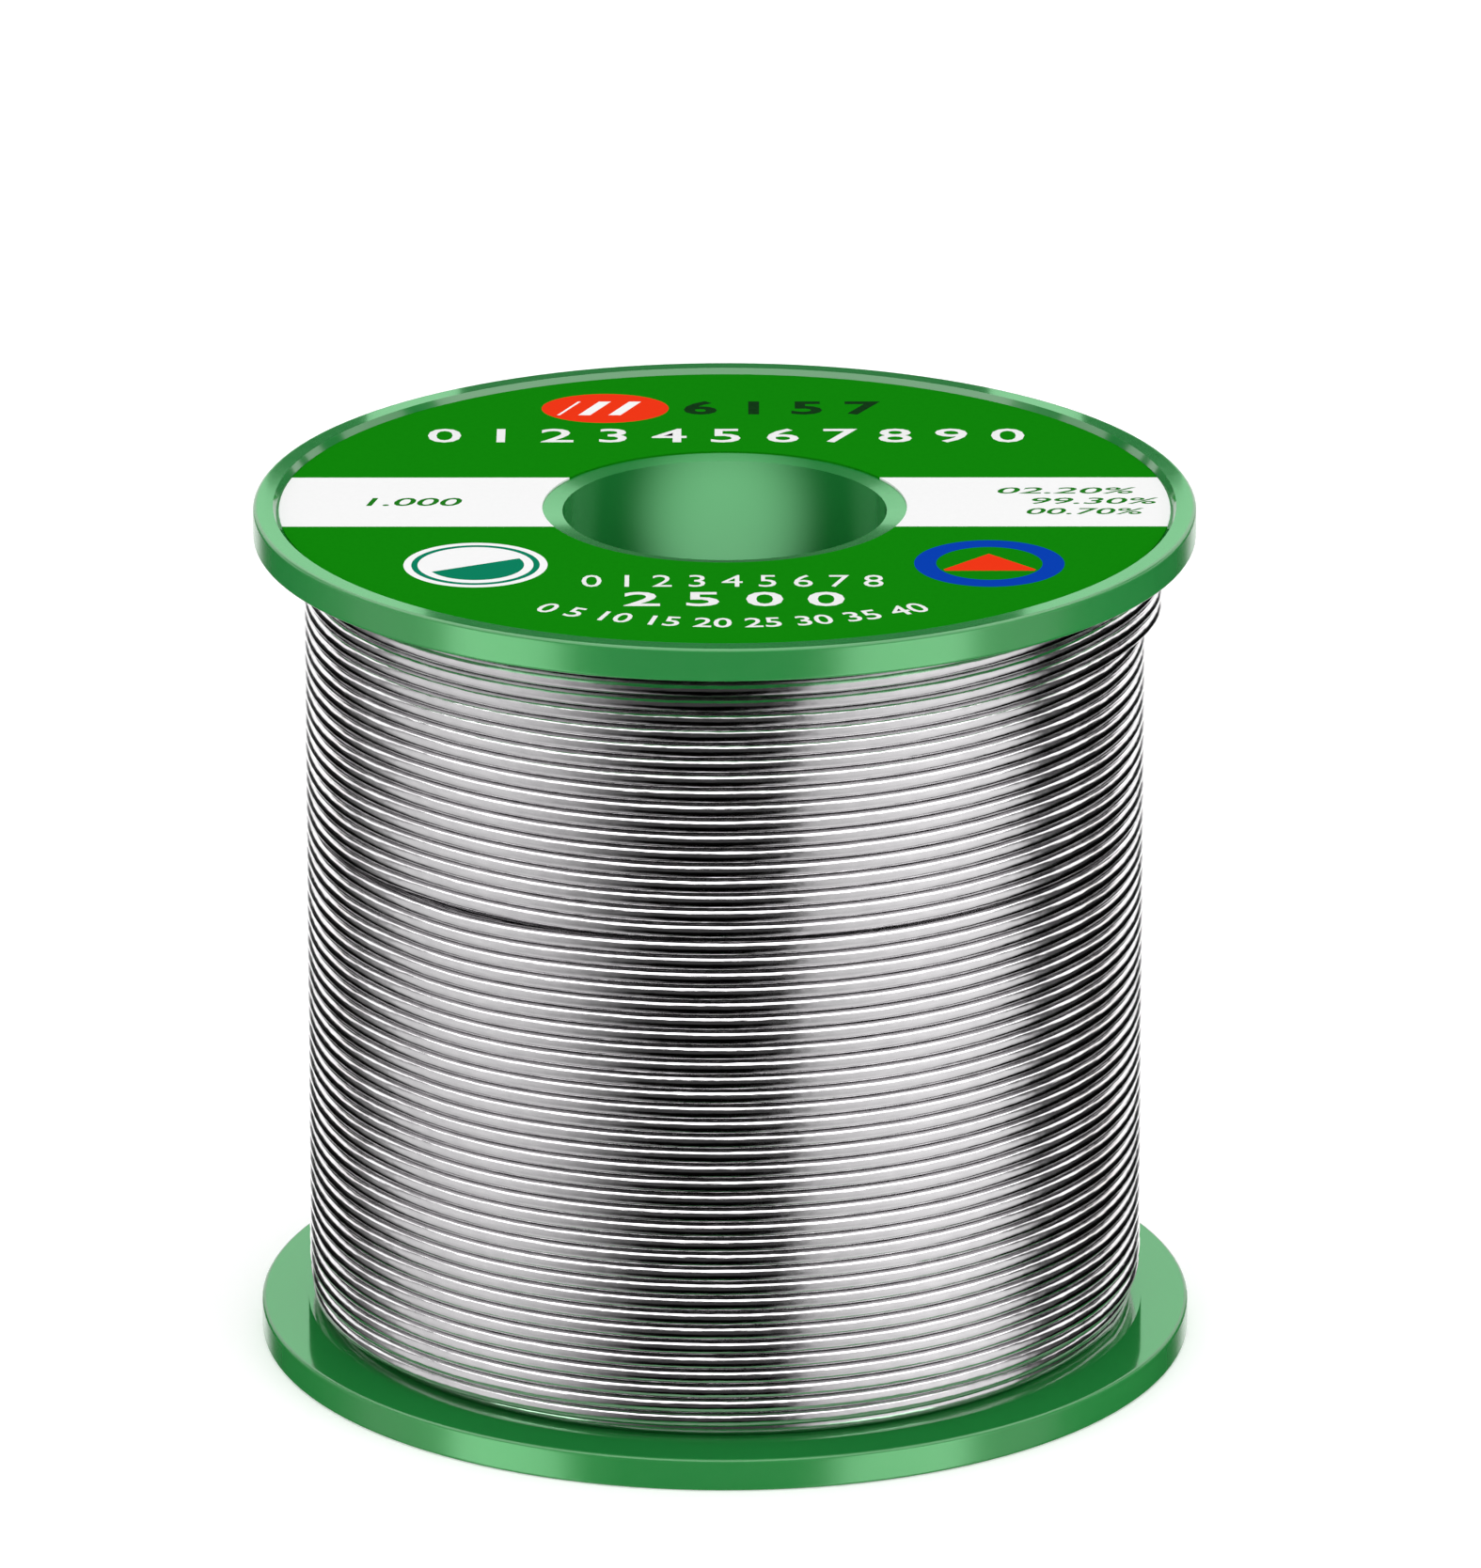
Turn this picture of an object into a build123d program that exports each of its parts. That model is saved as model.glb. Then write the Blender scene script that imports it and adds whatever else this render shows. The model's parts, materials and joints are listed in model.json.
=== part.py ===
"""A full reel of 1 mm flux-cored solder wire on a two-piece moulded spool.

The origin is at the centre of the lower rim, on the surface that the reel stands on.
+Z runs up along the bore. All sizes are in millimetres.
"""
from build123d import *
from math import cos, floor, pi, radians, sin, sqrt
import os

# Spool: overall sizes
flange_radius = 30.5
overall_height = 56.7
flange_thickness = 2.15
flange_edge_fillet = 0.25

# Spool: raised rim and label seat on each outer face
rim_width = 1.3
recess_depth = 0.45
recess_slope = 0.33

# Spool: bore tube, barrel and the ribs between them
bore_radius = 10.5
bore_wall = 1.3
countersink_width = 1.25
countersink_depth = 0.14
barrel_radius = 14.2
barrel_wall = 1.1
rib_count = 6
rib_thickness = 1.0
rib_root = 0.3
rib_end_clearance = 0.1

# Spool: locating collar that joins the two halves
collar_wall = 0.6
collar_height = 4.0
collar_root = 3.0
collar_clearance = 0.05
collar_end_clearance = 0.2

# Labels
label_thickness = 0.12
label_clearance = 0.05

# Wire and winding
wire_diameter = 1.0
flux_core_diameter = 0.36
flux_core_clearance = 0.01
layer_count = 15
layer_clearance = 0.02
groove_height = 0.1
sunk_turns = 2
sunk_depth = 0.4

# Wire start, threaded through a hole in the barrel into the hub
start_hole_clearance = 0.15
start_hole_lift = 0.35
start_hole_angle = 210.0
start_bend_radius = 1.0
start_tail_length = 6.0

# Free end, lying in the groove between the two uppermost turns
free_end_angle = -17.0
free_end_arc = 165.0

# Sizes that follow from the ones above
wire_radius = wire_diameter / 2
joint_height = overall_height / 2
traverse = overall_height - 2 * flange_thickness
tube_radius = bore_radius + bore_wall
pocket_radius = barrel_radius - barrel_wall
countersink_radius = bore_radius + countersink_width
seat_radius = flange_radius - rim_width - recess_slope
collar_radius = tube_radius + collar_wall
layer_step = wire_diameter * sqrt(3) / 2
turn_count = floor(traverse / wire_diameter)
turn_pitch = (traverse - wire_diameter) / (turn_count - 1)
outer_layer_radius = barrel_radius + wire_radius + (layer_count - 1) * layer_step
start_hole_radius = wire_radius + start_hole_clearance
start_hole_height = flange_thickness + start_hole_radius + start_hole_lift
tail_radius = (tube_radius + pocket_radius) / 2

os.makedirs("parts", exist_ok=True)


def radial_plane(angle):
    """A plane through the reel's axis: its X runs outwards at the angle, its Y runs up."""
    outwards = (cos(radians(angle)), sin(radians(angle)), 0)
    normal = (sin(radians(angle)), -cos(radians(angle)), 0)
    return Plane(origin=(0, 0, 0), x_dir=outwards, z_dir=normal)


def moulded_half():
    """Flange, bore tube, half barrel and ribs of one half, with its outer face down."""
    with BuildPart() as half:
        with BuildSketch(Plane.XZ):
            with BuildLine():
                Polyline(
                    (flange_radius, 0),
                    (flange_radius, flange_thickness),
                    (barrel_radius, flange_thickness),
                    (barrel_radius, joint_height),
                    (pocket_radius, joint_height),
                    (pocket_radius, flange_thickness),
                    (tube_radius, flange_thickness),
                    (tube_radius, joint_height),
                    (bore_radius, joint_height),
                    (bore_radius, recess_depth + countersink_depth),
                    (countersink_radius, recess_depth),
                    (seat_radius, recess_depth),
                    (flange_radius - rim_width, 0),
                    close=True,
                )
            make_face()
        revolve(axis=Axis.Z)
        edges = half.edges().filter_by(GeomType.CIRCLE)
        flange_edges = edges.filter_by(lambda edge: abs(edge.radius - flange_radius) < 0.001)
        fillet(flange_edges, radius=flange_edge_fillet)
        with BuildSketch(Plane.XY.offset(flange_thickness)):
            with PolarLocations((tube_radius + pocket_radius) / 2, rib_count):
                Rectangle(pocket_radius - tube_radius + 2 * rib_root, rib_thickness)
        extrude(amount=joint_height - flange_thickness - rib_end_clearance)
    return half.part


# Lower half: the common moulding, the locating collar and the wire's start hole
with BuildPart() as lower_spool_half:
    add(moulded_half())
    with BuildSketch(Plane.XY.offset(joint_height - collar_root)):
        Circle(collar_radius)
        Circle(tube_radius - rib_root, mode=Mode.SUBTRACT)
    extrude(amount=collar_root)
    with BuildSketch(Plane.XY.offset(joint_height)):
        Circle(collar_radius)
        Circle(tube_radius + collar_clearance, mode=Mode.SUBTRACT)
    extrude(amount=collar_height)
    hole_axis = radial_plane(start_hole_angle).x_dir
    hole_plane = Plane(origin=(0, 0, start_hole_height), x_dir=(0, 0, 1), z_dir=hole_axis)
    with BuildSketch(hole_plane.offset(tail_radius)):
        Circle(start_hole_radius)
    extrude(amount=barrel_radius - tail_radius, mode=Mode.SUBTRACT)
lower_spool_half.part.label = "lower_spool_half"
export_step(lower_spool_half.part, "parts/lower_spool_half.step")

# Upper half: the same moulding turned over, its ribs cut back round the collar
with BuildPart() as upper_spool_half:
    mirror(moulded_half(), about=Plane.XY.offset(joint_height))
    with BuildSketch(Plane.XY.offset(joint_height)):
        Circle(collar_radius + collar_clearance)
        Circle(tube_radius, mode=Mode.SUBTRACT)
    extrude(amount=collar_height + collar_end_clearance, mode=Mode.SUBTRACT)
upper_spool_half.part.label = "upper_spool_half"
export_step(upper_spool_half.part, "parts/upper_spool_half.step")


def label_ring(base_height):
    """A round paper label with its hole, stuck on the seat inside a rim."""
    with BuildPart() as label:
        with BuildSketch(Plane.XY.offset(base_height)):
            Circle(seat_radius - label_clearance)
            Circle(countersink_radius + label_clearance, mode=Mode.SUBTRACT)
        extrude(amount=label_thickness)
    return label


upper_label = label_ring(overall_height - recess_depth)
upper_label.part.label = "upper_label"
export_step(upper_label.part, "parts/upper_label.step")

lower_label = label_ring(recess_depth - label_thickness)
lower_label.part.label = "lower_label"
export_step(lower_label.part, "parts/lower_label.step")

# Inner layers: each traverse of the wire is one closed sleeve of the space it fills
for layer in range(1, layer_count):
    centre_radius = barrel_radius + wire_radius + (layer - 1) * layer_step
    inner_radius = centre_radius - layer_step / 2 + layer_clearance / 2
    if layer == 1:
        inner_radius = barrel_radius + layer_clearance / 2
    with BuildPart() as wire_layer:
        with BuildSketch(Plane.XY.offset(flange_thickness)):
            Circle(centre_radius + layer_step / 2 - layer_clearance / 2)
            Circle(inner_radius, mode=Mode.SUBTRACT)
        extrude(amount=traverse)
    wire_layer.part.label = f"wire_layer_{layer:02d}"
    export_step(wire_layer.part, f"parts/wire_layer_{layer:02d}.step")

# Outer layer: a sleeve whose outside has one round ridge for each turn of the wire
with BuildPart() as outer_wire_layer:
    with BuildSketch(Plane.XZ):
        with BuildLine():
            half_ridge = sqrt(wire_radius**2 - groove_height**2)
            inner_radius = outer_layer_radius - layer_step / 2 + layer_clearance / 2
            last_point = (inner_radius, flange_thickness)
            for turn in range(turn_count):
                turn_height = flange_thickness + wire_radius + turn * turn_pitch
                turn_radius = outer_layer_radius - (sunk_depth if turn < sunk_turns else 0)
                ridge_start = (turn_radius + groove_height, turn_height - half_ridge)
                ridge_end = (turn_radius + groove_height, turn_height + half_ridge)
                if turn == 0:
                    corner = (turn_radius + groove_height, flange_thickness)
                    Line(last_point, corner)
                    last_point = corner
                Line(last_point, ridge_start)
                ThreePointArc(ridge_start, (turn_radius + wire_radius, turn_height), ridge_end)
                last_point = ridge_end
            top_height = overall_height - flange_thickness
            Polyline(
                last_point,
                (outer_layer_radius + groove_height, top_height),
                (inner_radius, top_height),
                (inner_radius, flange_thickness),
            )
        make_face()
    revolve(axis=Axis.Z)
outer_wire_layer.part.label = f"wire_layer_{layer_count:02d}"
export_step(outer_wire_layer.part, f"parts/wire_layer_{layer_count:02d}.step")


def wire_section(plane):
    """Sketch the solder tube's section at the plane's origin."""
    with BuildSketch(plane) as section:
        Circle(wire_radius)
        Circle(flux_core_diameter / 2 + flux_core_clearance, mode=Mode.SUBTRACT)
    return section.sketch


def flux_section(plane):
    """Sketch the flux core's section at the plane's origin."""
    with BuildSketch(plane) as section:
        Circle(flux_core_diameter / 2)
    return section.sketch


# Start of the wire: in through the barrel's hole, then up inside the hub
with BuildLine(radial_plane(start_hole_angle)) as tail_path:
    FilletPolyline(
        (barrel_radius, start_hole_height),
        (tail_radius, start_hole_height),
        (tail_radius, start_hole_height + start_tail_length),
        radius=start_bend_radius,
    )
tail_start = Plane(origin=tail_path.line @ 0, z_dir=tail_path.line % 0)
with BuildPart() as wire_start_tail:
    sweep(wire_section(tail_start), path=tail_path.line)
wire_start_tail.part.label = "wire_start_tail"
export_step(wire_start_tail.part, "parts/wire_start_tail.step")

# Free end: a round-section arc in the groove between the two uppermost turns
free_end_radius = outer_layer_radius + layer_step
free_end_height = overall_height - flange_thickness - wire_radius - turn_pitch / 2
free_end_plane = radial_plane(free_end_angle)
free_end_start = Plane(
    origin=free_end_plane.from_local_coords((free_end_radius, free_end_height, 0)),
    x_dir=free_end_plane.x_dir,
    z_dir=free_end_plane.z_dir,
)
with BuildPart() as wire_free_end:
    revolve(wire_section(free_end_start), axis=Axis.Z, revolution_arc=free_end_arc)
wire_free_end.part.label = "wire_free_end"
export_step(wire_free_end.part, "parts/wire_free_end.step")

# Flux core: the rosin that fills the middle of both loose lengths of wire
with BuildPart() as flux_core:
    sweep(flux_section(tail_start), path=tail_path.line)
    revolve(flux_section(free_end_start), axis=Axis.Z, revolution_arc=free_end_arc)
flux_core.part.label = "flux_core"
export_step(flux_core.part, "parts/flux_core.step")

mean_layer_radius = (barrel_radius + wire_radius + outer_layer_radius) / 2
winding_length = layer_count * turn_count * 2 * pi * mean_layer_radius
print(f"turns in a layer {turn_count}, pitch {turn_pitch:.4f} mm")
print(f"outermost turn's radius {outer_layer_radius + wire_radius:.2f} mm")
print(f"wire on the reel {winding_length / 1000:.1f} m")
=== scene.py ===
"""The looks of the solder wire reel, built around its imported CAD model, in metres."""
import json
from math import cos, exp, pi, radians, sin, sqrt

import bmesh
import bpy
from mathutils import Matrix, Vector


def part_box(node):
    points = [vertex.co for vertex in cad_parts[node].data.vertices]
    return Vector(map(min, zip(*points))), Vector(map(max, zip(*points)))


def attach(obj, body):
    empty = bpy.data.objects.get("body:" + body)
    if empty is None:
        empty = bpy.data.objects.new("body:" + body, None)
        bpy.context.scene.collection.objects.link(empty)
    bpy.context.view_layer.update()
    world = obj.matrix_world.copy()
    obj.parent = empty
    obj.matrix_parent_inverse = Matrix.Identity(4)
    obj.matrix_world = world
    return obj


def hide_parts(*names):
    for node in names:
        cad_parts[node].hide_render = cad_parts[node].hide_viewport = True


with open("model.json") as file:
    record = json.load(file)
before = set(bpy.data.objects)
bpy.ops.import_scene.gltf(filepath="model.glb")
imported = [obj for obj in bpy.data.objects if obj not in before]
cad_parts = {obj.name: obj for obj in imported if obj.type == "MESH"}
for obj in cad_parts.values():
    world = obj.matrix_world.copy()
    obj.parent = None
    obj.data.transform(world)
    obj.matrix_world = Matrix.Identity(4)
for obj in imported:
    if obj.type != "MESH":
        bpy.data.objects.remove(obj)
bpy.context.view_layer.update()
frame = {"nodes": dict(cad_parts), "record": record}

MM = 0.001

# Spool and labels: sizes read from the frame
spool_low, spool_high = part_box("upper_spool_half")
upper_label_low, upper_label_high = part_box("upper_label")
lower_label_low, lower_label_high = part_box("lower_label")
flange_radius = spool_high.x
overall_height = spool_high.z
bore_mount = next(mount for mount in frame["record"]["mounts"] if mount["name"] == "bore")
bore_radius = bore_mount["dims"]["r_mm"] * MM

# Wire: sizes read from the frame
layer_low, layer_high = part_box("wire_layer_15")
strand_low, strand_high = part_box("wire_free_end")
winding_floor = layer_low.z
winding_ceiling = layer_high.z
wire_diameter = strand_high.z - strand_low.z
wire_radius = wire_diameter / 2
winding_radius = layer_high.x - wire_radius

# Winding: how the wire lies
TURNS = 51
GAP_TURN = 33.24
START_ANGLE = radians(-17)
FREE_END_TURNS = 0.458
LAYER_STEP = wire_diameter * sqrt(3) / 2
turn_span = winding_ceiling - winding_floor - wire_diameter

# Wire start: level through the barrel's hole, then up inside the hub
tail_low, tail_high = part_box("wire_start_tail")
START_HOLE_ANGLE = radians(210)
START_BEND = 1.0 * MM
start_height = tail_low.z + wire_radius
start_reach = (wire_radius * sin(START_HOLE_ANGLE) - tail_low.x) / -cos(START_HOLE_ANGLE)
start_stand_off = (wire_radius - tail_high.x) / -cos(START_HOLE_ANGLE)
start_length = start_reach - start_stand_off + tail_high.z - start_height - (2 - pi / 2) * START_BEND

# Flux: its radius, and how little it stands out of a cut face
FLUX_RADIUS = 0.18 * MM
FLUX_PROUD_TURNS = 0.0002

# Fineness of the wires' curves: points to a turn, or to a metre
OUTER_STEPS = 128
INNER_STEPS = 96
START_STEPS = 4000

# Stage: its size, and the surround's brightness by direction, from the front towards the right
SURROUND_RADIUS = 0.6
FLAGS_BEHIND = 70 * MM
SURROUND_STOPS = [
    (-180, 1.8), (-158, 1.5), (-151, 0.03), (-125, 0.02), (-110, 0.20), (-101, 0.42), (-97, 0.80),
    (-66, 0.86), (-48, 0.64), (-36, 0.32), (-27, 0.12), (-20, 0.06), (14, 0.05), (18, 0.10),
    (23, 0.65), (35, 0.84), (56, 1.05), (78, 1.0), (86, 0.82), (91, 0.12), (105, 0.03),
    (150, 0.01), (157, 1.4), (180, 1.8),
]


# ---------------------------------------------------------------- materials


class Value:
    """A number that varies over a surface. An expression on it adds its Math nodes."""

    def __init__(self, tree, socket):
        self.tree = tree
        self.socket = socket

    def math(self, operation, *items):
        node = self.tree.nodes.new("ShaderNodeMath")
        node.operation = operation
        for slot, item in zip(node.inputs, items):
            feed(self.tree, slot, item)
        return Value(self.tree, node.outputs[0])

    def __add__(self, other):
        return self.math("ADD", self, other)

    def __sub__(self, other):
        return self.math("SUBTRACT", self, other)

    def __rsub__(self, other):
        return self.math("SUBTRACT", other, self)

    def __mul__(self, other):
        return self.math("MULTIPLY", self, other)

    def __truediv__(self, other):
        return self.math("DIVIDE", self, other)

    def __rtruediv__(self, other):
        return self.math("DIVIDE", other, self)

    def __pow__(self, other):
        return self.math("POWER", self, other)

    def __mod__(self, other):
        return self.math("FLOORED_MODULO", self, other)

    def __lt__(self, other):
        return self.math("LESS_THAN", self, other)

    def __gt__(self, other):
        return self.math("GREATER_THAN", self, other)

    def __or__(self, other):
        return self.math("MAXIMUM", self, other)

    def __and__(self, other):
        return self.math("MINIMUM", self, other)

    def __abs__(self):
        return self.math("ABSOLUTE", self)

    __radd__ = __add__
    __rmul__ = __mul__


def feed(tree, slot, item):
    """Give a node's input a value, a wrapped value or another node's output."""
    if isinstance(item, Value):
        item = item.socket
    if isinstance(item, bpy.types.NodeSocket):
        tree.links.new(item, slot)
    else:
        slot.default_value = item


def set_stops(ramp, stops):
    """Give a colour ramp its grey stops, each a position and a brightness."""
    while len(ramp.elements) > 1:
        ramp.elements.remove(ramp.elements[-1])
    for index, (position, grey) in enumerate(stops):
        stop = ramp.elements.new(position) if index else ramp.elements[0]
        stop.position = position
        stop.color = (grey, grey, grey, 1.0)


class Finish:
    """A material whose nodes are added one call at a time."""

    def __init__(self, name, **constants):
        self.material = bpy.data.materials.new(name)
        self.material.use_nodes = True
        self.tree = self.material.node_tree
        self.shader = self.tree.nodes["Principled BSDF"]
        self.set(**constants)

    def set(self, **inputs):
        """Set the shader's own sockets, whose names have _ for each space here."""
        for name, item in inputs.items():
            feed(self.tree, self.shader.inputs[name.replace("_", " ")], item)

    def show_instead(self, shader):
        """Put another shader in the place of the plastic, metal or paper one."""
        self.tree.links.new(shader, self.tree.nodes["Material Output"].inputs["Surface"])

    def node(self, kind, settings=None, inputs=None, output=0):
        """Add a node, and give back one of its outputs."""
        node = self.tree.nodes.new(kind)
        for name, item in (settings or {}).items():
            if name == "stops":
                set_stops(node.color_ramp, item)
            else:
                setattr(node, name, item)
        for name, item in (inputs or {}).items():
            feed(self.tree, node.inputs[name], item)
        return node.outputs[output]

    def value(self, *args, **kwargs):
        """Add a node whose output is one number."""
        return Value(self.tree, self.node(*args, **kwargs))

    def point(self):
        """The point on the piece, in metres."""
        return self.node("ShaderNodeTexCoord", output="Object")

    def place(self):
        """The point's X, Y and Z in metres, and its distance from the reel's axis."""
        x_socket = self.node("ShaderNodeSeparateXYZ", inputs={"Vector": self.point()})
        x, y, z = (Value(self.tree, socket) for socket in x_socket.node.outputs)
        return x, y, z, (x * x + y * y) ** 0.5

    def noise(self, vector, scale, detail=2.0, roughness=0.5):
        inputs = {"Vector": vector, "Scale": scale, "Detail": detail, "Roughness": roughness}
        return self.value("ShaderNodeTexNoise", inputs=inputs)

    def mix(self, factor, first, second):
        """Blend two colours, each four numbers or a link."""
        inputs = {0: factor, 6: first, 7: second}
        return self.node("ShaderNodeMix", {"data_type": "RGBA"}, inputs, output=2)

    def bump(self, height, distance, strength=1.0):
        inputs = {"Height": height, "Distance": distance, "Strength": strength}
        return self.node("ShaderNodeBump", inputs=inputs)


def round_the_axis(finish, along, across):
    """A texture place that follows the turns: stretched along them, fine across them."""
    x, y, z, radius = finish.place()
    angle = x.math("ARCTAN2", y, x)
    inputs = {"X": angle * (along * winding_radius), "Y": z * across, "Z": radius * across}
    return finish.node("ShaderNodeCombineXYZ", inputs=inputs)


def bright_solder():
    """Bright drawn tin alloy: mirror-like, with fine draw lines and a little haze."""
    finish = Finish("bright_solder", Metallic=1.0)
    draw_lines = finish.noise(round_the_axis(finish, 250.0, 9000.0), 1.0, 3.0, 0.6)
    dents = finish.noise(round_the_axis(finish, 500.0, 1600.0), 1.0, 2.0, 0.5)
    haze = finish.noise(round_the_axis(finish, 900.0, 2500.0), 1.0, 2.0, 0.6)
    tone = finish.mix(haze, (0.60, 0.59, 0.605, 1.0), (0.80, 0.785, 0.795, 1.0))
    finish.set(Base_Color=tone, Roughness=0.07 + 0.14 * haze)
    finish.set(Normal=finish.bump(draw_lines * 0.3 + dents, 0.035 * MM, 0.8))
    return finish.material


def green_plastic():
    """Glossy moulded green plastic with a faint flow pattern and satin, rubbed outer edges."""
    finish = Finish("spool_green_plastic", IOR=1.5, Specular_IOR_Level=0.6, Coat_Roughness=0.05)
    x, y, z, radius = finish.place()
    flow = finish.noise(finish.point(), 60.0, 3.0, 0.5)
    grain = finish.noise(finish.point(), 900.0, 2.0, 0.6)
    edge = radius > flange_radius - 0.25 * MM
    rubbed = edge * finish.noise(finish.point(), 500.0, 3.0, 0.7)
    body = finish.mix(flow, (0.0145, 0.215, 0.041, 1.0), (0.0195, 0.252, 0.050, 1.0))
    finish.set(Base_Color=finish.mix(rubbed * 0.10, body, (0.08, 0.34, 0.12, 1.0)))
    finish.set(Roughness=0.08 + 0.05 * grain + 0.10 * edge + 0.04 * rubbed)
    finish.set(Coat_Weight=0.3 - 0.3 * edge)
    finish.set(Normal=finish.bump(grain, 0.003 * MM, 0.3))
    return finish.material


def inside(x, y, centre, across, along):
    """One inside an ellipse in millimetres, and nought outside it."""
    x, y = (x - centre[0]) / across, (y - centre[1]) / along
    return x * x + y * y < 1.0


def label_print(name, facing):
    """Coated paper: green, with a white band and plain marks. It faces up (1) or down (-1)."""
    finish = Finish(name, Roughness=0.6, IOR=1.45, Specular_IOR_Level=0.0)
    x, y, z, radius = finish.place()
    x, y = x * (facing / MM), y / MM
    fibre = finish.noise(finish.point(), 2500.0, 3.0, 0.6)
    green = finish.mix(fibre, (0.0046, 0.212, 0.003, 1.0), (0.0060, 0.235, 0.004, 1.0))
    white = finish.mix(fibre, (0.90, 0.90, 0.90, 1.0), (0.94, 0.94, 0.94, 1.0))
    teal = (0.004, 0.21, 0.11, 1.0)
    blue = (0.003, 0.050, 0.43, 1.0)
    red = (0.85, 0.038, 0.009, 1.0)

    # A white band across the middle, and the rounds of the three marks
    band_middle, band_half_width = 0.9, 5.2
    oval, disc, ring = (-7.9, 21.2), (-15.9, -12.3), (16.9, -12.0)
    colour = finish.mix(abs(y - band_middle) < band_half_width, green, white)
    for centre, across, along, fill in (
        (oval, 4.2, 3.2, red),
        (disc, 4.6, 4.6, white),
        (disc, 4.1, 4.1, teal),
        (disc, 3.7, 3.7, white),
        (ring, 4.8, 4.8, blue),
        (ring, 3.4, 3.4, green),
    ):
        colour = finish.mix(inside(x, y, centre, across, along), colour, fill)

    # Slanted white bars on the oval, a teal segment on the disc and a red wedge in the ring
    slant = (x - oval[0]) - 0.45 * (y - oval[1])
    stripes = (slant + 9.1) % 2.0 < 0.8
    bars = (abs(slant) < 2.5) * (abs(y - oval[1]) < 1.5) * stripes
    segment = inside(x, y, disc, 3.1, 3.1) * (y - disc[1] < 0.5 * (x - disc[0]))
    wedge = (abs(x - ring[0]) * 1.1 + (y - ring[1]) < 2.0) * (y - ring[1] > -1.5)
    colour = finish.mix(bars, colour, white)
    colour = finish.mix(segment, colour, teal)
    colour = finish.mix(wedge * inside(x, y, ring, 3.2, 3.2), colour, red)
    finish.set(Base_Color=colour, Normal=finish.bump(fibre, 0.004 * MM, 0.3))
    return finish.material


def rosin():
    """Solid amber flux."""
    finish = Finish("flux_rosin", Roughness=0.3, IOR=1.53)
    cloud = finish.noise(finish.point(), 3000.0, 3.0, 0.6)
    finish.set(Base_Color=finish.mix(cloud, (0.42, 0.20, 0.04, 1.0), (0.62, 0.36, 0.12, 1.0)))
    return finish.material


def ink(name, first, second):
    """Printing ink that soaks in a little unevenly."""
    finish = Finish(name, Roughness=0.6, Specular_IOR_Level=0.0)
    soaked = finish.noise(finish.point(), 4000.0)
    finish.set(Base_Color=finish.mix(soaked, first, second))
    return finish.material


def floor_paint():
    """Matt white, and a little bright by itself."""
    finish = Finish("pale_floor", Roughness=0.9, Base_Color=(0.85, 0.85, 0.85, 1.0))
    finish.set(Emission_Color=(1.0, 1.0, 1.0, 1.0), Emission_Strength=0.3)
    return finish.material


def glow(name, grey):
    """A stage surface that only gives grey light."""
    finish = Finish(name)
    finish.show_instead(finish.node("ShaderNodeEmission", inputs={"Color": (grey, grey, grey, 1.0)}))
    return finish.material


def painted_shade_skirt_glow():
    """Painted shade: a dark green glow on a surface's outer side, with nothing to see from its inner
    side.
    """
    finish = Finish("painted_shade_skirt_green")
    # Dark green: painted shade, seen only in the lower flange's reflection
    emission = finish.node("ShaderNodeEmission", inputs={"Color": (0.004, 0.05, 0.012, 1.0)})
    clear = finish.node("ShaderNodeBsdfTransparent")
    inner_side = finish.node("ShaderNodeNewGeometry", output="Backfacing")
    one_sided = finish.node("ShaderNodeMixShader", inputs={0: inner_side, 1: emission, 2: clear})
    finish.show_instead(one_sided)
    return finish.material


def surround_glow():
    """Studio surround: brightness by the direction it is seen in, and a little less below."""
    finish = Finish("surround_glow")
    x, y, z, radius = finish.place()
    turn = x.math("ARCTAN2", x, 0 - y) / (2 * pi) + 0.5
    # A ramp's stops hold no more than 1, so they are halved and the ramp is doubled
    ramp = [(0.5 + degrees / 360, grey / 2) for degrees, grey in SURROUND_STOPS]
    grey = finish.value("ShaderNodeValToRGB", {"stops": ramp}, {"Fac": turn})
    below = (0 - z / SURROUND_RADIUS - 0.05) * 2.5
    lit = grey * 2 - 0.12 * ((below | 0) & 1)
    white = (1.0, 1.0, 1.0, 1.0)
    finish.show_instead(finish.node("ShaderNodeEmission", inputs={"Color": white, "Strength": lit | 0}))
    return finish.material


# ---------------------------------------------------------------- the wire


def smooth(position):
    """Rise smoothly from 0 to 1 as position goes from 0 to 1."""
    position = min(max(position, 0.0), 1.0)
    return position * position * (3 - 2 * position)


def bump_at(angle, centre, width):
    """A smooth bump of height 1 round the reel, with its centre and width in degrees."""
    away = (angle - radians(centre) + pi) % (2 * pi) - pi
    return exp(-((away / radians(width)) ** 2))


def gap_width(angle):
    """The gap left between two turns, a third of the way down."""
    return (0.15 + 0.27 * bump_at(angle, 231, 17)) * MM


def lowest_turns_sink(turns, angle):
    """How far the lowest turns lie inside the rest of the layer."""
    depth = (0.22 + 0.55 * bump_at(angle, 335, 42)) * MM
    return depth * (1 - smooth((turns + 0.3) / 2.8))


def pushed_out(turns, angle):
    """How far the upper turns stand out on the right, over what is tucked under them."""
    lifted = smooth((turns - 46.7) / 0.35) * (1 - smooth((turns - 50.0) / 0.5))
    return 1.05 * MM * lifted * bump_at(angle, -2, 19)


def waviness(turns, seed):
    """Small uneven pull along the wire."""
    slow = 0.5 * sin(2 * pi * 1.31 * turns + seed)
    quick = 0.3 * sin(2 * pi * 4.07 * turns + 2 * seed) + 0.2 * sin(2 * pi * 9.13 * turns + 3 * seed)
    return slow + quick


def outer_height(turns, angle):
    """The height of the wire's centre in the outer layer, after so many turns."""
    gap = gap_width(angle)
    above_gap = smooth((turns - GAP_TURN) / 0.12)
    lift = max(turns, 0.0) / TURNS * (turn_span - gap) + gap * above_gap
    return winding_floor + wire_radius + lift


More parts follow.
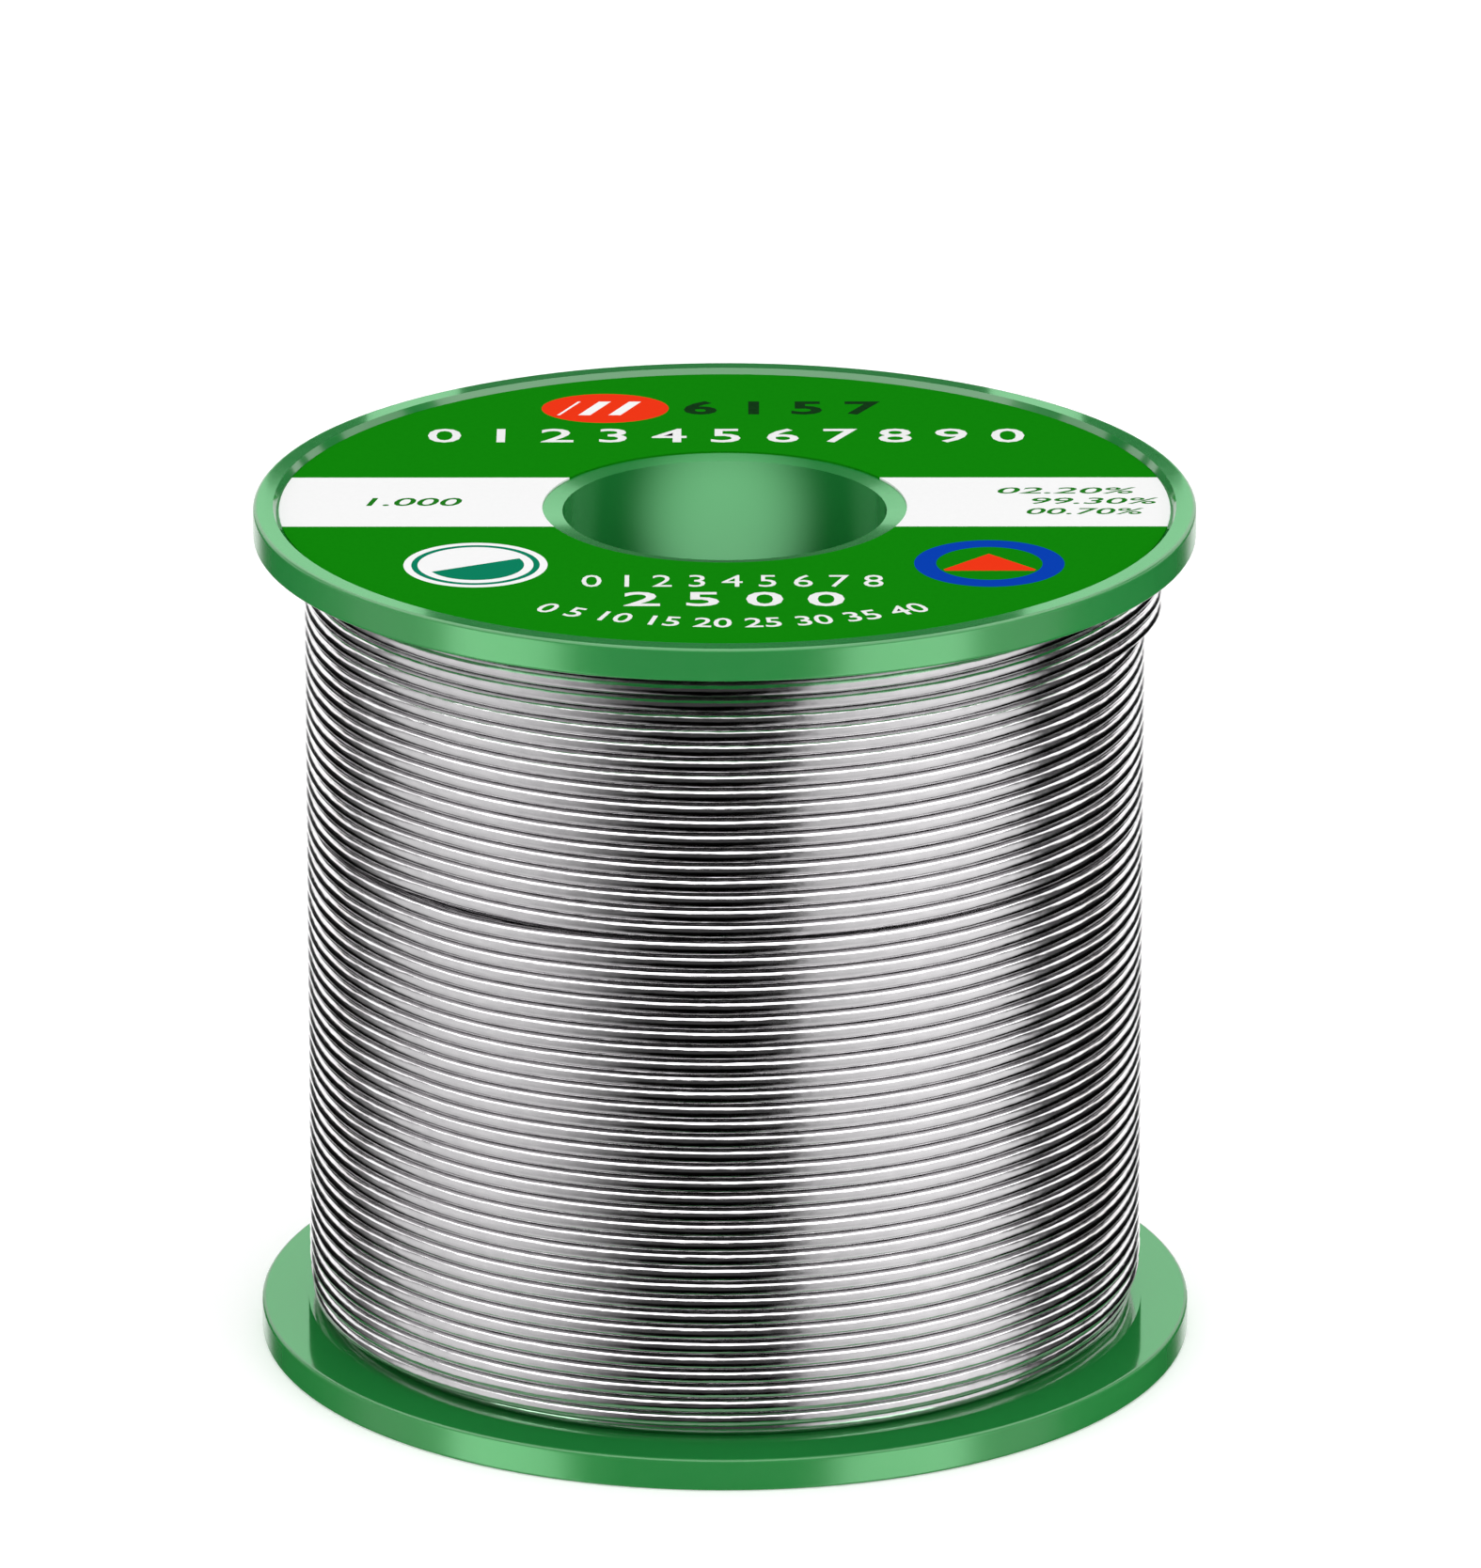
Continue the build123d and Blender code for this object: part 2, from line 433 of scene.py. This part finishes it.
def outer_point(turns):
    """A point on the wire from where it comes out of the layer below to its free end."""
    angle = START_ANGLE + 2 * pi * turns
    radius = winding_radius - lowest_turns_sink(turns, angle) + 0.012 * MM * waviness(turns, 1.0)
    radius += pushed_out(turns, angle)
    height = outer_height(turns, angle) + 0.004 * MM * waviness(turns, 2.0)
    if turns < 0:
        drop = wire_diameter * (1 + turns)
        radius -= sqrt(wire_diameter**2 - drop**2)
    if turns > TURNS:
        height = winding_ceiling - wire_radius
        rise = height - outer_height(turns - 1, angle)
        radius += sqrt(max(wire_diameter**2 - rise**2, 0.0))
    return Vector((radius * cos(angle), radius * sin(angle), height))


def inner_point(turns):
    """A point on the layer below, which is wound the other way along the barrel."""
    angle = START_ANGLE - 2 * pi * turns
    radius = winding_radius - LAYER_STEP - lowest_turns_sink(turns, angle)
    height = winding_floor + wire_radius + turn_span * turns / TURNS
    return Vector((radius * cos(angle), radius * sin(angle), height))


def start_point(length):
    """A point on the wire's start, so far in from the barrel's surface."""
    level_run = start_reach - start_stand_off - START_BEND
    turned = min(max((length - level_run) / START_BEND, 0.0), pi / 2)
    out = start_reach - min(length, level_run) - START_BEND * sin(turned)
    upright = max(length - level_run - START_BEND * pi / 2, 0.0)
    height = start_height + START_BEND * (1 - cos(turned)) + upright
    return Vector((out * cos(START_HOLE_ANGLE), out * sin(START_HOLE_ANGLE), height))


def wire_curve(name, point_at, span, steps, rounds, thickness, material):
    """A round wire along a path given as a function of turns or of length, over a span of it."""
    curve = bpy.data.curves.new(name, "CURVE")
    curve.dimensions = "3D"
    curve.bevel_depth = thickness
    curve.bevel_resolution = rounds
    curve.use_fill_caps = True
    curve.materials.append(material)
    start, end = span
    count = int((end - start) * steps) + 1
    spline = curve.splines.new("POLY")
    spline.points.add(count - 1)
    for index, point in enumerate(spline.points):
        gone = start + (end - start) * index / (count - 1)
        point.co = (*point_at(gone), 1.0)
    piece = bpy.data.objects.new(name, curve)
    bpy.context.collection.objects.link(piece)
    return piece


def wind_outer_layer(solder):
    """The outermost layer and the free end: one wire."""
    span = (-1.0, TURNS + FREE_END_TURNS)
    outer_wire = wire_curve("outer_wire_turns", outer_point, span, OUTER_STEPS, 5, wire_radius, solder)
    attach(outer_wire, "root")
    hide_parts("wire_layer_15", "wire_free_end")


def wind_layer_below(solder):
    """The layer that shows through the gap."""
    name = "under_layer_wire_turns"
    inner_wire = wire_curve(name, inner_point, (0.0, TURNS), INNER_STEPS, 2, wire_radius, solder)
    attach(inner_wire, "root")
    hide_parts("wire_layer_14")


def fill_with_flux(flux):
    """The flux that shows in both ends of the wire."""
    free_end_span = (TURNS + 0.05, TURNS + FREE_END_TURNS + FLUX_PROUD_TURNS)
    name = "flux_in_free_end"
    free_end_flux = wire_curve(name, outer_point, free_end_span, OUTER_STEPS, 2, FLUX_RADIUS, flux)
    name = "flux_in_start"
    start_flux = wire_curve(name, start_point, (0.0, start_length), START_STEPS, 2, FLUX_RADIUS, flux)
    for piece in (free_end_flux, start_flux):
        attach(piece, "root")
    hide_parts("flux_core")


# ---------------------------------------------------------------- labels

# Rows of numbers in millimetres: text, centre, size, then thickening, slant and the radius of a bend
WHITE_ROWS = [
    ("0 1 2 3 4 5 6 7 8 9 0", (0.1, 15.2), (39.2, 3.0), 0.01),
    ("0 1 2 3 4 5 6 7 8", (0.5, -15.6), (19.2, 2.4), 0.0),
    ("2 5 0 0", (0.6, -19.3), (14.0, 2.9), 0.015),
    ("0 5 10 15 20 25 30 35 40", (0.5, -24.1), (25.5, 1.9), 0.01, 0.0, 24.0),
]
GREEN_ROWS = [
    ("1.000", (-20.1, 0.9), (6.2, 1.7), 0.01, 0.2),
    ("02.20%", (22.2, 3.3), (9.0, 1.3), 0.01, 0.2),
    ("99.30%", (24.0, 1.1), (8.2, 1.3), 0.01, 0.2),
    ("00.70%", (23.3, -1.1), (7.6, 1.3), 0.01, 0.2),
]
BLACK_ROWS = [("6 1 5 7", (3.8, 21.3), (13.0, 3.0), 0.03)]
INK_HEIGHT = 0.005


def number_row(shape, text, centre, size, weight=0.0, slant=0.0, bend=0.0):
    """Add a row of flat numbers to a bmesh, in millimetres."""
    font = bpy.data.curves.new("numbers", "FONT")
    font.body = text
    font.offset = weight
    font.shear = slant
    font.extrude = 0.01
    font.resolution_u = 3
    writer = bpy.data.objects.new("numbers", font)
    bpy.context.collection.objects.link(writer)
    written = writer.evaluated_get(bpy.context.evaluated_depsgraph_get())
    mesh = bpy.data.meshes.new_from_object(written)
    bpy.data.objects.remove(writer)
    left = min(v.co.x for v in mesh.vertices)
    right = max(v.co.x for v in mesh.vertices)
    low = min(v.co.y for v in mesh.vertices)
    high = max(v.co.y for v in mesh.vertices)
    for vertex in mesh.vertices:
        across = ((vertex.co.x - left) / (right - left) - 0.5) * size[0]
        up = ((vertex.co.y - low) / (high - low) - 0.5) * size[1]
        if bend:
            angle = across / bend
            across, up = (bend - up) * sin(angle), bend - (bend - up) * cos(angle)
        thick = INK_HEIGHT if vertex.co.z > 0 else -INK_HEIGHT
        vertex.co = (centre[0] + across, centre[1] + up, thick)
    shape.from_mesh(mesh)


def print_numbers(name, rows, surface, facing, material):
    """One piece of thin printed numbers, on a label that faces up (1) or down (-1)."""
    shape = bmesh.new()
    for row in rows:
        number_row(shape, *row)
    bmesh.ops.scale(shape, vec=(MM, MM, MM), verts=shape.verts)
    if facing < 0:
        bmesh.ops.rotate(shape, cent=(0, 0, 0), matrix=Matrix.Rotation(pi, 3, "Y"), verts=shape.verts)
    bmesh.ops.translate(shape, vec=(0, 0, surface), verts=shape.verts)
    mesh = bpy.data.meshes.new(name)
    shape.to_mesh(mesh)
    shape.free()
    mesh.materials.clear()
    mesh.materials.append(material)
    piece = bpy.data.objects.new(name, mesh)
    bpy.context.collection.objects.link(piece)
    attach(piece, "root")


def print_labels():
    """The numbers on both labels, in three inks."""
    white_ink = ink("white_ink", (0.82, 0.83, 0.82, 1.0), (0.88, 0.88, 0.88, 1.0))
    green_ink = ink("green_ink", (0.008, 0.16, 0.008, 1.0), (0.02, 0.22, 0.015, 1.0))
    black_ink = ink("black_ink", (0.004, 0.03, 0.006, 1.0), (0.01, 0.05, 0.012, 1.0))
    for side, surface, facing in (("upper", upper_label_high.z, 1), ("lower", lower_label_low.z, -1)):
        print_numbers(f"{side}_white_numbers", WHITE_ROWS, surface, facing, white_ink)
        print_numbers(f"{side}_green_numbers", GREEN_ROWS, surface, facing, green_ink)
        print_numbers(f"{side}_black_numbers", BLACK_ROWS, surface, facing, black_ink)


# ---------------------------------------------------------------- stage


def reflected_only(name, shape, material):
    """Turn a bmesh into a stage piece that only shiny surfaces show."""
    mesh = bpy.data.meshes.new(name)
    shape.to_mesh(mesh)
    shape.free()
    mesh.materials.append(material)
    card = bpy.data.objects.new(name, mesh)
    bpy.context.collection.objects.link(card)
    card.visible_camera = False
    card.visible_diffuse = False
    card.visible_shadow = False
    card.visible_transmission = False
    card.visible_volume_scatter = False


def stage_card(name, azimuths, elevations, material, radius=SURROUND_RADIUS):
    """Part of a sphere round the reel that shows only in reflections."""
    shape = bmesh.new()
    low, high = (radians(e) for e in elevations)
    left, right = (radians(a) for a in azimuths)
    start = Vector((0, -radius * cos(low), radius * sin(low)))
    vertex = bmesh.ops.create_vert(shape, co=start)["vert"]
    bmesh.ops.spin(shape, geom=vertex, cent=(0, 0, 0), axis=(-1, 0, 0), angle=high - low, steps=24)
    bmesh.ops.rotate(shape, verts=shape.verts, cent=(0, 0, 0), matrix=Matrix.Rotation(left, 3, "Z"))
    edges = shape.verts[:] + shape.edges[:]
    bmesh.ops.spin(shape, geom=edges, cent=(0, 0, 0), axis=(0, 0, 1), angle=right - left, steps=72)
    reflected_only(name, shape, material)


def back_flag(name, across, width, low, high, grey):
    """An upright card close behind the reel, in millimetres. It darkens part of the rim's shine."""
    middle = (across * MM, FLAGS_BEHIND, (low + high) / 2 * MM)
    shape = bmesh.new()
    bmesh.ops.create_grid(shape, x_segments=1, y_segments=1, size=0.5)
    bmesh.ops.scale(shape, vec=(width * MM, (high - low) * MM, 1), verts=shape.verts)
    bmesh.ops.rotate(shape, cent=(0, 0, 0), matrix=Matrix.Rotation(pi / 2, 3, "X"), verts=shape.verts)
    bmesh.ops.translate(shape, vec=middle, verts=shape.verts)
    reflected_only(name, shape, glow(name + "_glow", grey))


def painted_shade_skirt():
    """A collar round the lowest turns that keeps their shine off the lower flange. Its dark green glow
    is painted shade, mirrored in the lower flange's front.
    """
    shape = bmesh.new()
    bmesh.ops.create_circle(shape, segments=256, radius=winding_radius + wire_radius + 0.1 * MM)
    bmesh.ops.translate(shape, vec=(0, 0, winding_floor), verts=shape.verts)
    wall = bmesh.ops.extrude_edge_only(shape, edges=shape.edges[:])
    tops = [v for v in wall["geom"] if isinstance(v, bmesh.types.BMVert)]
    bmesh.ops.translate(shape, vec=(0, 0, 3.6 * MM), verts=tops)
    bmesh.ops.recalc_face_normals(shape, faces=shape.faces)
    reflected_only("painted_shade_skirt", shape, painted_shade_skirt_glow())


def under_disc():
    """A dark disc just under the reel that keeps the surround out of the bore's far end: painted shade
    for the floor under the reel.
    """
    shape = bmesh.new()
    bmesh.ops.create_circle(shape, cap_ends=True, segments=96, radius=1.2 * bore_radius)
    bmesh.ops.translate(shape, verts=shape.verts, vec=(0, 0, -1 * MM))
    # Grey 0.05: painted shade, seen only in reflections down the bore
    reflected_only("under_disc", shape, glow("painted_shade_under_glow", 0.05))


def hang_cards():
    """What the wire and the plastic mirror."""
    stage_card("surround", (-180, 180), (-85, 43), surround_glow())
    stage_card("overhead_panel", (-180, 180), (43, 89), glow("overhead_glow", 3.0))
    side_back_glow = glow("side_back_glow", 1.6)
    stage_card("right_back_panel", (104, 124), (20, 43), side_back_glow, 0.59)
    stage_card("left_back_panel", (-124, -109), (20, 43), side_back_glow, 0.59)
    stage_card("back_panel", (140, 220), (24, 50), glow("back_glow", 1.7), 0.58)
    stage_card("low_back_panel", (118, 242), (10, 24), glow("low_back_glow", 1.4), 0.58)
    stage_card("dark_back_card", (171, 189), (-3, 28), glow("dark_back_glow", 0.03), 0.57)
    stage_card("grey_back_card", (171, 189), (28, 55), glow("grey_back_glow", 0.60), 0.57)
    back_flag("low_back_flag", 0, 37, 57, 74, 0.06)
    back_flag("high_back_flag", 0, 42, 84, 130, 0.03)
    back_flag("left_back_flag", -28.5, 7, 71, 78, 0.02)
    back_flag("right_back_flag", 28.5, 7, 71, 78, 0.02)
    painted_shade_skirt()
    under_disc()


def soft_light(name, azimuth, elevation, distance, width, height, power):
    """A soft light aimed at the middle of the reel, which reflections don't show."""
    light = bpy.data.lights.new(name, "AREA")
    light.shape = "RECTANGLE"
    light.size = width
    light.size_y = height
    light.energy = power
    lamp = bpy.data.objects.new(name, light)
    bpy.context.collection.objects.link(lamp)
    a, e = radians(azimuth), radians(elevation)
    out = Vector((sin(a) * cos(e), -cos(a) * cos(e), sin(e)))
    lamp.location = Vector((0, 0, overall_height / 2)) + distance * out
    lamp.rotation_euler = out.to_track_quat("Z", "Y").to_euler()
    lamp.visible_camera = False
    lamp.visible_glossy = False
    return lamp


def plastic_strip(name, azimuth, elevation, width, height, power, plastic_only):
    """A pale green light that shows only as a shine on the plastic."""
    strip = soft_light(name, azimuth, elevation, 0.5, width, height, power)
    strip.data.color = (0.52, 1.0, 0.62)
    strip.visible_glossy = True
    strip.visible_diffuse = False
    strip.light_linking.receiver_collection = plastic_only


def bore_spot(plastic_only):
    """A narrow pink spot on the back of the bore, which makes its green pale."""
    light = bpy.data.lights.new("bore_lamp", "SPOT")
    light.energy = 120.0
    light.color = (1.0, 0.18, 0.48)
    light.spot_size = radians(1.5)
    light.spot_blend = 1.0
    light.shadow_soft_size = 0.001
    lamp = bpy.data.objects.new("bore_lamp", light)
    bpy.context.collection.objects.link(lamp)
    lamp.location = (0, -0.42, 0.36)
    bore_back = Vector((0, bore_radius, overall_height - 5 * MM))
    lamp.rotation_euler = (lamp.location - bore_back).to_track_quat("Z", "Y").to_euler()
    lamp.visible_glossy = False
    lamp.light_linking.receiver_collection = plastic_only


def set_lights():
    """Three soft boxes on everything, and three strips and a spot on the plastic alone."""
    plastic_only = bpy.data.collections.new("plastic_only")
    for node in ("upper_spool_half", "lower_spool_half"):
        plastic_only.objects.link(frame["nodes"][node])
    plastic_strip("left_strip", -54, -14, 0.26, 0.6, 2.7, plastic_only)
    plastic_strip("right_strip", 44, -14, 0.29, 0.6, 3.1, plastic_only)
    plastic_strip("back_strip", 180, 20, 0.16, 0.14, 0.113, plastic_only)
    bore_spot(plastic_only)
    soft_light("left_softbox", -62, 22, 1.5, 0.8, 0.8, 3.0)
    soft_light("right_softbox", 52, 25, 1.5, 0.8, 0.8, 4.0)
    soft_light("top_softbox", 10, 82, 1.5, 0.9, 0.9, 7.0)


def fill_world():
    """Even white light from all round, shown as it is."""
    world = bpy.data.worlds.new("studio")
    world.use_nodes = True
    background = world.node_tree.nodes["Background"]
    background.inputs["Color"].default_value = (1, 1, 1, 1)
    background.inputs["Strength"].default_value = 0.62
    bpy.context.scene.world = world
    bpy.context.scene.view_settings.view_transform = "Standard"


def pale_floor():
    """A wide white floor that reflections don't show."""
    mesh = bpy.data.meshes.new("floor")
    shape = bmesh.new()
    bmesh.ops.create_grid(shape, x_segments=2, y_segments=2, size=6.0)
    shape.to_mesh(mesh)
    shape.free()
    mesh.materials.append(floor_paint())
    floor = bpy.data.objects.new("floor", mesh)
    bpy.context.collection.objects.link(floor)
    floor.visible_glossy = False


def aim_camera():
    """A long lens, a little above the reel."""
    distance = 891.9 * MM
    elevation = radians(19.53)
    middle = Vector((0, 0, 27.45 * MM))
    back = Vector((0, -cos(elevation), sin(elevation)))
    up = Vector((0, sin(elevation), cos(elevation)))
    aim = middle + Vector((1.03 * MM, 0, 0)) + 9.38 * MM * up
    data = bpy.data.cameras.new("camera")
    data.sensor_width = 36.0
    data.lens = 313.2
    data.clip_end = 50.0
    camera = bpy.data.objects.new("camera", data)
    bpy.context.collection.objects.link(camera)
    camera.location = middle + distance * back
    camera.rotation_euler = (camera.location - aim).to_track_quat("Z", "Y").to_euler()
    bpy.context.scene.camera = camera


# ---------------------------------------------------------------- put together

aim_camera()
fill_world()
pale_floor()
hang_cards()
set_lights()

solder = bright_solder()
flux = rosin()
wind_outer_layer(solder)
wind_layer_below(solder)
fill_with_flux(flux)
print_labels()

plastic = green_plastic()
finishes = {
    "upper_spool_half": plastic,
    "lower_spool_half": plastic,
    "upper_label": label_print("upper_label_print", 1),
    "lower_label": label_print("lower_label_print", -1),
    "flux_core": flux,
}
for node, piece in frame["nodes"].items():
    piece.data.materials.clear()
    piece.data.materials.append(finishes.get(node, solder))
